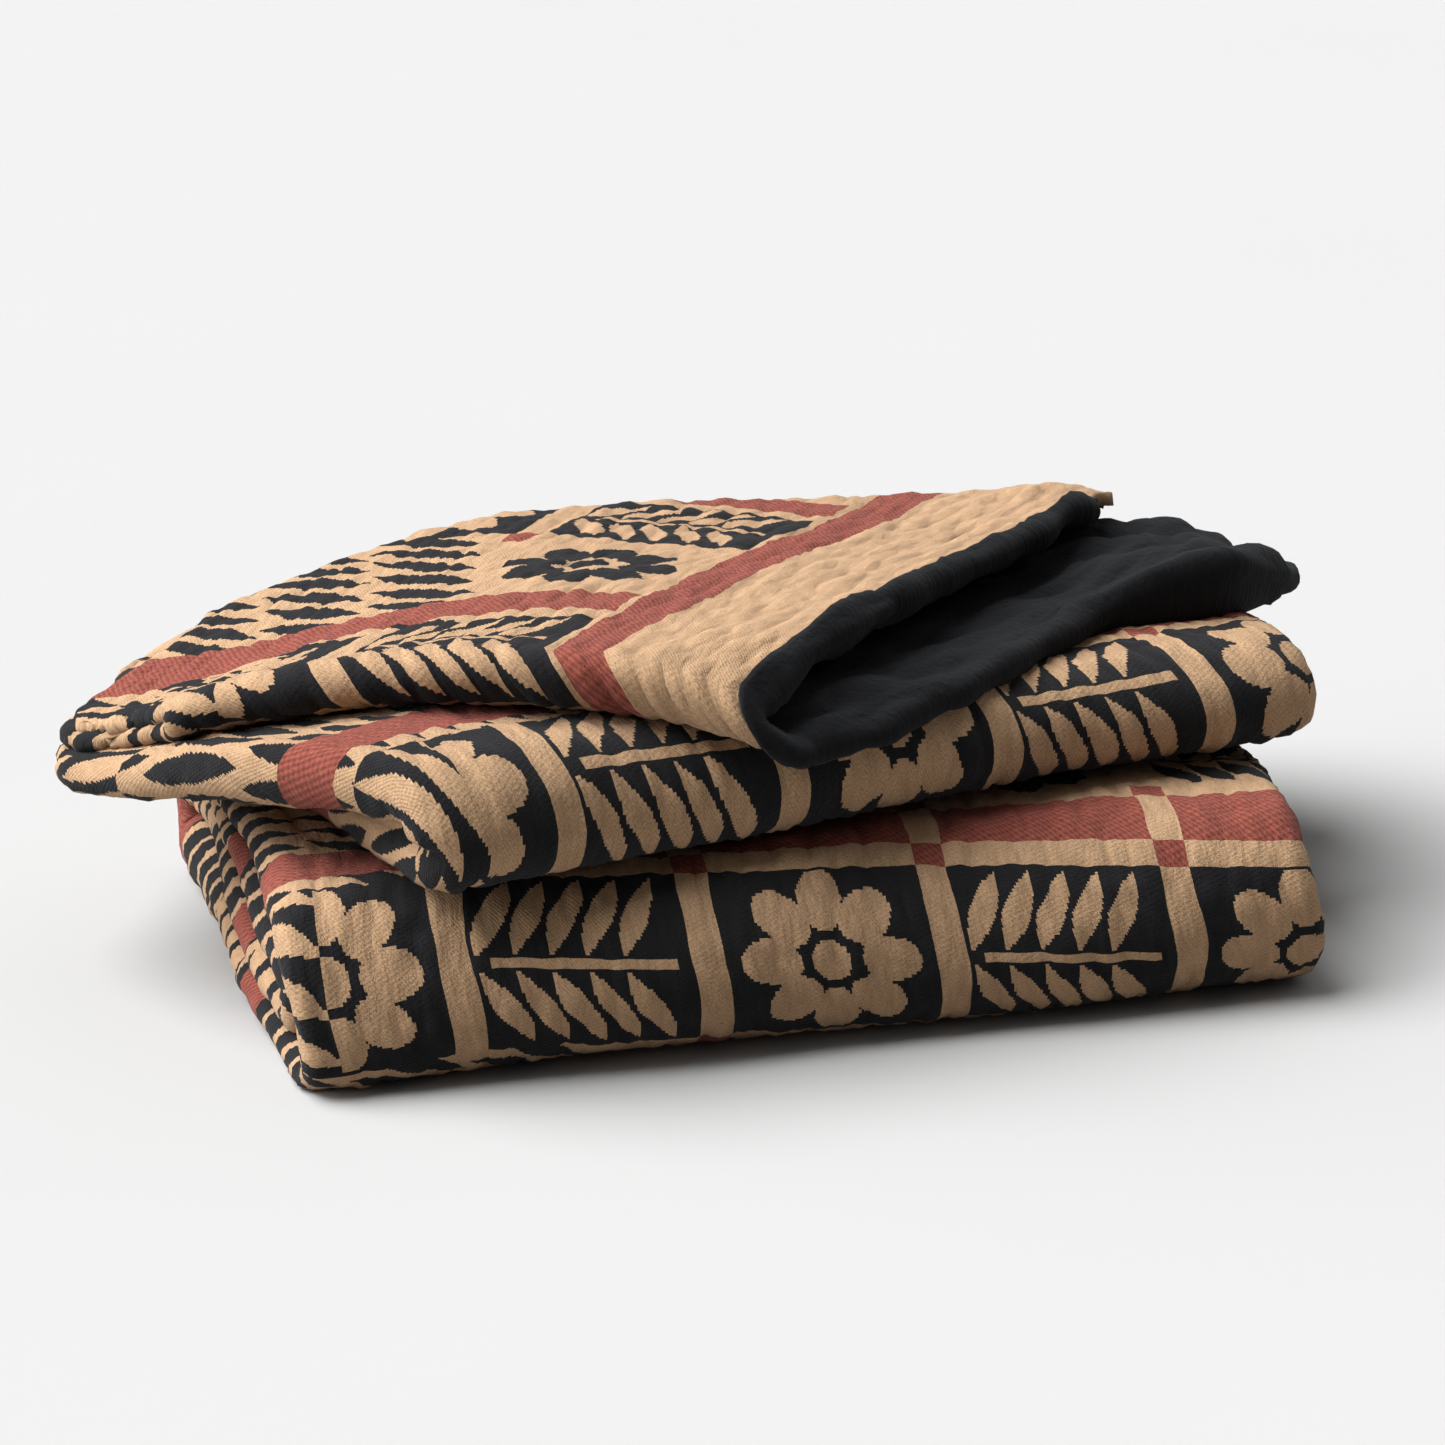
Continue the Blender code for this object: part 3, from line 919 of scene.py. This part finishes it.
def flower_group():
    """A round flower of eight separate petals: folds the plane to one petal and measures there."""
    sockets = [("Place", "NodeSocketVector")]
    tree, given, result = new_group("Round flower", sockets, [("Mask", "NodeSocketFloat")])
    x, y = tree.parts(given["Place"])
    x = tree.math("DIVIDE", x, FLOWER_STRETCH)
    angle = tree.math("ARCTAN2", y, x)
    nearest = tree.math("SNAP", tree.math("ADD", angle, math.pi / PETALS), 2 * math.pi / PETALS)
    folded = tree.math("SUBTRACT", angle, nearest)
    far = tree.math("SQRT", tree.math("ADD", tree.square(x), tree.square(y)))
    along = tree.math("MULTIPLY", far, tree.math("COSINE", folded))
    beside = tree.math("MULTIPLY", far, tree.math("SINE", folded))
    long_share = tree.math("DIVIDE", tree.math("SUBTRACT", along, PETAL_REACH), PETAL_LENGTH)
    wide_share = tree.math("DIVIDE", beside, PETAL_WIDTH)
    total = tree.math("ADD", tree.square(long_share), tree.square(wide_share))
    petals = tree.math("LESS_THAN", total, 1.0)
    tree.plug(result["Mask"], tree.math("MAXIMUM", petals, tree.math("LESS_THAN", far, FLOWER_CENTRE)))
    return tree.tree


def almond(tree, slanted, pitch, share, half_width):
    """Almond leaves in a row, as their mask and the place of the nearest one."""
    nearest = tree.math("SNAP", tree.math("ADD", slanted, pitch / 2), pitch)
    beside = tree.math("ABSOLUTE", tree.math("SUBTRACT", slanted, nearest))
    width = tree.math("MULTIPLY", half_width, tree.rest(tree.square(share)))
    return tree.math("LESS_THAN", beside, width), nearest


def sprig_group():
    """A straight stem with almond leaves in pairs."""
    tree, given, result = new_group("Sprig", [("Place", "NodeSocketVector")], [("Mask", "NodeSocketFloat")])
    x, y = tree.parts(given["Place"])
    off_stem = tree.math("ABSOLUTE", y)
    slanted = tree.math("SUBTRACT", x, tree.math("MULTIPLY", off_stem, LEAF_SLANT))
    share = tree.math("DIVIDE", tree.math("SUBTRACT", off_stem, LEAF_REACH), LEAF_LENGTH)
    leaves, nearest = almond(tree, slanted, LEAF_PITCH, share, LEAF_WIDTH)
    first, last = LEAF_PAIRS
    inside = tree.within(nearest, first * LEAF_PITCH, last * LEAF_PITCH)
    stem = tree.math("LESS_THAN", off_stem, STEM_WIDTH)
    stem = tree.math("MULTIPLY", stem, tree.within(x, -STEM_REACH, STEM_REACH))
    tree.plug(result["Mask"], tree.math("MAXIMUM", stem, tree.math("MULTIPLY", leaves, inside)))
    return tree.tree


def side_group():
    """Slanting leaves one behind the other along the left side of the cloth."""
    inputs = [("Side", "NodeSocketFloat"), ("Along", "NodeSocketFloat")]
    tree, given, result = new_group("Side leaves", inputs, [("Mask", "NodeSocketFloat")])
    from_start = tree.math("ADD", given["Side"], SIDE_LENGTH - SIDE_MIDDLE)
    in_file = tree.math("FLOORED_MODULO", from_start, 2 * SIDE_LENGTH)
    off_middle = tree.math("SUBTRACT", in_file, SIDE_LENGTH)
    slanted = tree.math("ADD", given["Along"], tree.math("MULTIPLY", off_middle, SIDE_SLANT))
    share = tree.math("DIVIDE", off_middle, SIDE_LENGTH)
    leaves, _ = almond(tree, slanted, SIDE_PITCH, share, SIDE_WIDTH)
    tree.plug(result["Mask"], leaves)
    return tree.tree


def steps_group():
    """The place in the pattern, moved to the nearest yarn."""
    sockets = [("Place", "NodeSocketVector"), ("Step", "NodeSocketFloat")]
    tree, given, result = new_group("Yarn steps", sockets, [("Place", "NodeSocketVector")])
    stepped = [tree.math("SNAP", part, given["Step"]) for part in tree.parts(given["Place"])]
    tree.plug(result["Place"], tree.vector(*stepped))
    return tree.tree


def layout_group(flower, sprig, side_leaves):
    """Bars, bands and cells of the windowpane pattern, as masks of the tan and of the red yarn."""
    numbers = [(name, "NodeSocketFloat") for name in ("Border", "Side", "Cross")]
    inputs = [("Place", "NodeSocketVector"), *numbers]
    outputs = [("Tan", "NodeSocketFloat"), ("Red", "NodeSocketFloat")]
    tree, given, result = new_group("Windowpane", inputs, outputs)
    border, side = given["Border"], given["Side"]
    x, y = tree.parts(given["Place"])
    # where the point lies in its column and in its repeat
    column = tree.math("FLOOR", tree.math("DIVIDE", x, BAR_PITCH))
    in_column = tree.math("SUBTRACT", x, tree.math("MULTIPLY", column, BAR_PITCH))
    bar = tree.math("LESS_THAN", in_column, BAR_WIDTH)
    repeat = tree.math("FLOOR", tree.math("DIVIDE", y, REPEAT))
    in_repeat = tree.math("SUBTRACT", y, tree.math("MULTIPLY", repeat, REPEAT))
    dark_row = tree.math("LESS_THAN", in_repeat, ROW)
    band = tree.within(in_repeat, ROW, ROW + BAND)
    stripe = tree.within(in_repeat, ROW + STRIPE_START, ROW + STRIPE_START + STRIPE)
    thin_band = tree.math("GREATER_THAN", in_repeat, REPEAT - THIN_BAND)
    # flower or sprig in a cell
    middle_x = tree.math("SUBTRACT", in_column, (BAR_PITCH + BAR_WIDTH) / 2)
    row_start = tree.math("MULTIPLY", tree.rest(dark_row), ROW + BAND)
    middle_y = tree.math("SUBTRACT", tree.math("SUBTRACT", in_repeat, row_start), ROW / 2)
    cell_place = tree.vector(middle_x, middle_y)
    choice = tree.math("FLOORED_MODULO", tree.math("ADD", column, dark_row), 2.0)
    flowers = tree.math("MULTIPLY", tree.group(flower, place=cell_place)["Mask"], choice)
    sprigs = tree.math("MULTIPLY", tree.group(sprig, place=cell_place)["Mask"], tree.rest(choice))
    motif = tree.math("MAXIMUM", flowers, sprigs)
    # the leaves along the left side take the place of cells, bars and bands
    side_end = tree.spread(dark_row, SIDE_END_TAN, SIDE_END_DARK)
    in_side = tree.within(side, SIDE_START, side_end)
    turn = tree.math("MULTIPLY", given["Cross"], tree.math("SUBTRACT", y, side))
    leaf_side, leaf_along = tree.math("ADD", side, turn), tree.math("SUBTRACT", y, turn)
    leaves = tree.group(side_leaves, side=leaf_side, along=leaf_along)["Mask"]
    change = tree.math("MULTIPLY", in_side, tree.math("SUBTRACT", leaves, motif))
    motif = tree.math("ADD", motif, change)
    beside = tree.rest(in_side)
    bar = tree.math("MULTIPLY", bar, beside)
    bands = tree.math("MULTIPLY", tree.math("MAXIMUM", band, thin_band), beside)
    # the yarns
    cell_tan = tree.differs(tree.rest(dark_row), motif)
    tan = tree.math("MAXIMUM", tree.math("MAXIMUM", bar, bands), cell_tan)
    tan = tree.math("MAXIMUM", tan, tree.math("LESS_THAN", border, BORDER))
    crossing = tree.math("MULTIPLY", bar, thin_band)
    counter = tree.math("MULTIPLY", band, tree.differs(bar, stripe))
    red = tree.math("MAXIMUM", crossing, counter)
    red = tree.math("MULTIPLY", red, tree.math("GREATER_THAN", border, BORDER))
    red = tree.math("MAXIMUM", red, tree.within(border, *BORDER_STRIPE))
    tree.plug(result["Tan"], tan)
    tree.plug(result["Red"], red)
    return tree.tree


def weave_group():
    """Fine slanting ribs of a twill: their height from 0 to 1 at a given pitch."""
    inputs = [("Place", "NodeSocketVector"), ("Pitch", "NodeSocketFloat")]
    tree, given, result = new_group("Twill", inputs, [("Height", "NodeSocketFloat")])
    x, y = tree.parts(given["Place"])
    turn = tree.math("DIVIDE", 2 * math.pi, given["Pitch"])
    slant = tree.math("SINE", tree.math("MULTIPLY", tree.math("ADD", x, y), turn))
    leaning = tree.math("SUBTRACT", y, tree.math("MULTIPLY", x, TWILL_LEAN))
    cross = tree.math("SINE", tree.math("MULTIPLY", leaning, turn))
    parts = [tree.math("MULTIPLY", line, share) for line, share in zip((slant, cross), TWILL_SHARES)]
    tree.plug(result["Height"], tree.math("ADD", tree.math("ADD", *parts), 0.5))
    return tree.tree


def new_material(name, look):
    """A material with the fixed values of its shader, as itself, its tree helper and its shader."""
    made = bpy.data.materials.new(name)
    made.use_nodes = True
    shader = made.node_tree.nodes["Principled BSDF"]
    for socket_name, value in look.items():
        shader.inputs[socket_name].default_value = value
    return made, Tree(made.node_tree), shader


def add_bump(tree, shader, height, strength):
    bump = tree.add("ShaderNodeBump")
    bump.inputs["Strength"].default_value = strength
    bump.inputs["Distance"].default_value = YARN_HEIGHT
    tree.plug(bump.inputs["Height"], height)
    tree.plug(shader.inputs["Normal"], bump.outputs["Normal"])


def patterned_material(settings):
    """The patterned cotton: three yarns laid out by the windowpane groups."""
    made, tree, shader = new_material("patterned_cotton", FACE_LOOK)
    place = tree.add("ShaderNodeUVMap", uv_map="Pattern").outputs["UV"]
    edge, cross = tree.attribute("border"), tree.attribute("cross")
    side = tree.math("SNAP", tree.attribute("side"), YARN_STEP)
    stepped = tree.group(steps_group(), place=place, step=YARN_STEP)["Place"]
    layout = layout_group(flower_group(), sprig_group(), side_group())
    masks = tree.group(layout, place=stepped, border=edge, side=side, cross=cross)
    cloth = tree.mix(masks["Tan"], (*settings.dark, 1.0), (*settings.tan, 1.0))
    cloth = tree.mix(masks["Red"], cloth, (*settings.red, 1.0))
    # the weave darkens and brightens the yarn, and the crinkles add painted shade in their creases and
    # painted light on their ridges
    heather = tree.noise(tree.scaled(place, HEATHER_STRETCH), HEATHER_SCALE, NOISE_DETAIL)
    blotch = tree.noise(place, BLOTCH_SCALE, NOISE_DETAIL)
    crinkle = tree.noise(tree.scaled(place, CRINKLE_STRETCH), CRINKLE_SCALE, CRINKLE_DETAIL)
    twill = weave_group()
    ribs = tree.add("ShaderNodeMix")
    tree.plug(ribs.inputs["Factor"], masks["Red"])
    tree.plug(ribs.inputs["A"], tree.group(twill, place=place, pitch=TWILL_PITCH)["Height"])
    tree.plug(ribs.inputs["B"], tree.group(twill, place=place, pitch=RED_TWILL_PITCH)["Height"])
    rib = ribs.outputs["Result"]
    rib_depth = tree.spread(masks["Red"], *RIB_DEPTHS)
    shade = tree.math("MULTIPLY", tree.math("SUBTRACT", rib, 0.5), rib_depth)
    shade = tree.math("ADD", shade, tree.spread(heather, *HEATHER_SHADES))
    shade = tree.math("MULTIPLY", shade, tree.spread(blotch, *BLOTCH_SHADES))
    # painted shade in the crinkles' creases and painted light on their ridges
    shade = tree.math("MULTIPLY", shade, tree.spread(crinkle, *PAINTED_CRINKLE_SHADING))
    bright = tree.add("ShaderNodeHueSaturation")
    tree.plug(bright.inputs["Color"], cloth)
    tree.plug(bright.inputs["Value"], shade)
    tree.plug(shader.inputs["Base Color"], bright.outputs["Color"])
    tree.plug(shader.inputs["Roughness"], tree.spread(heather, *FACE_ROUGHNESS))
    fuzz = tree.math("MULTIPLY", tree.noise(place, FUZZ_SCALE, NOISE_DETAIL), FUZZ_SHARE)
    height = tree.math("ADD", tree.math("MULTIPLY", rib, RIB_SHARE), fuzz)
    height = tree.math("ADD", height, heather)
    height = tree.math("ADD", height, tree.math("MULTIPLY", crinkle, CRINKLE_SHARE))
    add_bump(tree, shader, height, FACE_BUMP)
    return made


def backing_material(settings):
    """The plain near-black cotton of the backing."""
    made, tree, shader = new_material("plain_dark_cotton", BACKING_LOOK)
    place = tree.add("ShaderNodeUVMap", uv_map="Pattern").outputs["UV"]
    heather = tree.noise(place, HEATHER_SCALE, NOISE_DETAIL)
    fuzz = tree.noise(place, FUZZ_SCALE, NOISE_DETAIL)
    dark, light = [(*(part * share for part in settings.backing), 1.0) for share in BACKING_SHADES]
    tree.plug(shader.inputs["Base Color"], tree.mix(heather, dark, light))
    crinkle = tree.math("MULTIPLY", tree.noise(place, CRINKLE_SCALE, CRINKLE_DETAIL), CRINKLE_SHARE)
    add_bump(tree, shader, tree.math("ADD", tree.math("ADD", heather, fuzz), crinkle), BACKING_BUMP)
    return made


def floor_material():
    """The pale floor, with hardly any change of tone."""
    made, tree, shader = new_material("floor", FLOOR_LOOK)
    tone = tree.noise(tree.add("ShaderNodeTexCoord").outputs["Object"], FLOOR_SCALE)
    tree.plug(shader.inputs["Base Color"], tree.mix(tone, *FLOOR_TONES))
    return made


# The operators

class QUILT_OT_face(bpy.types.Operator):
    """Build the three sections of the patterned cloth"""

    bl_idname = "quilt.face"
    bl_label = "Patterned cloth"

    def execute(self, context):
        settings = context.scene.quilt
        cloth = patterned_material(settings)
        for name, plies in SECTIONS:
            is_flap = name == "quilt_flap"
            points = [row_points(row, is_flap) for row in section_rows(plies)]
            piece = sheet_mesh(name, points, settings, puckers)
            piece.data.materials.append(cloth)
            thicken(piece, CLOTH)
            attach(piece, "root")
            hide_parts("quilt_face")
        return {"FINISHED"}


class QUILT_OT_backing(bpy.types.Operator):
    """Build the plain backing inside the open flap"""

    bl_idname = "quilt.backing"
    bl_label = "Backing"

    def execute(self, context):
        settings = context.scene.quilt
        points = backing_points(section_rows(SECTIONS[-1][1]))
        piece = sheet_mesh("quilt_lining", points, settings, puffs)
        piece.data.materials.append(backing_material(settings))
        thicken(piece, BACKING)
        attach(piece, "root")
        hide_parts("quilt_backing")
        return {"FINISHED"}


# The suns. Columns: name, the way it stands from the pile, size in degrees, strength
LIGHTS = (
    ("key", (-0.50, 0.18, 0.85), 50.0, 6.4),
    ("side", (-0.92, 0.28, 0.38), 65.0, 4.1),
    ("fill", (0.58, 0.25, 0.80), 70.0, 0.6),
)
LIGHT_COLOR = (0.97, 1.0, 1.03)
WORLD_STRENGTH = 0.10
FLOOR_SIZE = 30.0
CAMERA_AZIMUTH = math.radians(-15.0)
CAMERA_ELEVATION = math.radians(20.0)
CAMERA_DISTANCE = 3.0
CAMERA_LENS = 142.0
CAMERA_AIM = Vector((0.2649, 0.1815, 0.117)) + ORIGIN


def add_floor():
    mesh = bmesh.new()
    bmesh.ops.create_grid(mesh, x_segments=1, y_segments=1, size=FLOOR_SIZE)
    data = bpy.data.meshes.new("floor")
    mesh.to_mesh(data)
    mesh.free()
    floor = bpy.data.objects.new("floor", data)
    bpy.context.scene.collection.objects.link(floor)
    floor.data.materials.append(floor_material())
    return floor


def add_sun(name, way, size, strength):
    data = bpy.data.lights.new(name, "SUN")
    data.angle = math.radians(size)
    data.energy = strength
    data.color = LIGHT_COLOR
    light = bpy.data.objects.new(name, data)
    light.location = way
    light.rotation_euler = Vector(way).to_track_quat("Z", "Y").to_euler()
    bpy.context.scene.collection.objects.link(light)


def add_world(scene):
    world = bpy.data.worlds.new("studio")
    world.use_nodes = True
    background = world.node_tree.nodes["Background"]
    background.inputs["Color"].default_value = (*LIGHT_COLOR, 1)
    background.inputs["Strength"].default_value = WORLD_STRENGTH
    scene.world = world


def add_camera(scene):
    data = bpy.data.cameras.new("camera")
    data.lens = CAMERA_LENS
    camera = bpy.data.objects.new("camera", data)
    level, height = math.cos(CAMERA_ELEVATION), math.sin(CAMERA_ELEVATION)
    back = Vector((math.sin(CAMERA_AZIMUTH) * level, -math.cos(CAMERA_AZIMUTH) * level, height))
    camera.location = CAMERA_AIM + back * CAMERA_DISTANCE
    camera.rotation_mode = "QUATERNION"
    camera.rotation_quaternion = (-back).to_track_quat("-Z", "Y")
    scene.collection.objects.link(camera)
    scene.camera = camera


class QUILT_OT_stage(bpy.types.Operator):
    """Build the pale floor, the soft lights and the camera"""

    bl_idname = "quilt.stage"
    bl_label = "Stage"

    def execute(self, context):
        floor = add_floor()
        for light in LIGHTS:
            add_sun(*light)
        add_world(context.scene)
        context.scene.view_settings.view_transform = "Standard"
        add_camera(context.scene)
        return {"FINISHED"}


class QUILT_PT_panel(bpy.types.Panel):
    """The steps of the quilt"""

    bl_idname = "QUILT_PT_panel"
    bl_label = "Folded quilt"
    bl_space_type = "VIEW_3D"
    bl_region_type = "UI"
    bl_category = "Quilt"

    def draw(self, context):
        for name in QuiltSettings.__annotations__:
            self.layout.prop(context.scene.quilt, name)
        for operator in OPERATORS:
            self.layout.operator(operator.bl_idname)


OPERATORS = (QUILT_OT_face, QUILT_OT_backing, QUILT_OT_stage)
CLASSES = (QuiltSettings, *OPERATORS, QUILT_PT_panel)


def register():
    for made in CLASSES:
        bpy.utils.register_class(made)
    bpy.types.Scene.quilt = PointerProperty(type=QuiltSettings)


def unregister():
    del bpy.types.Scene.quilt
    for made in reversed(CLASSES):
        bpy.utils.unregister_class(made)


def main():
    register()
    bpy.ops.quilt.face()
    bpy.ops.quilt.backing()
    bpy.ops.quilt.stage()


if __name__ == "__main__":
    main()
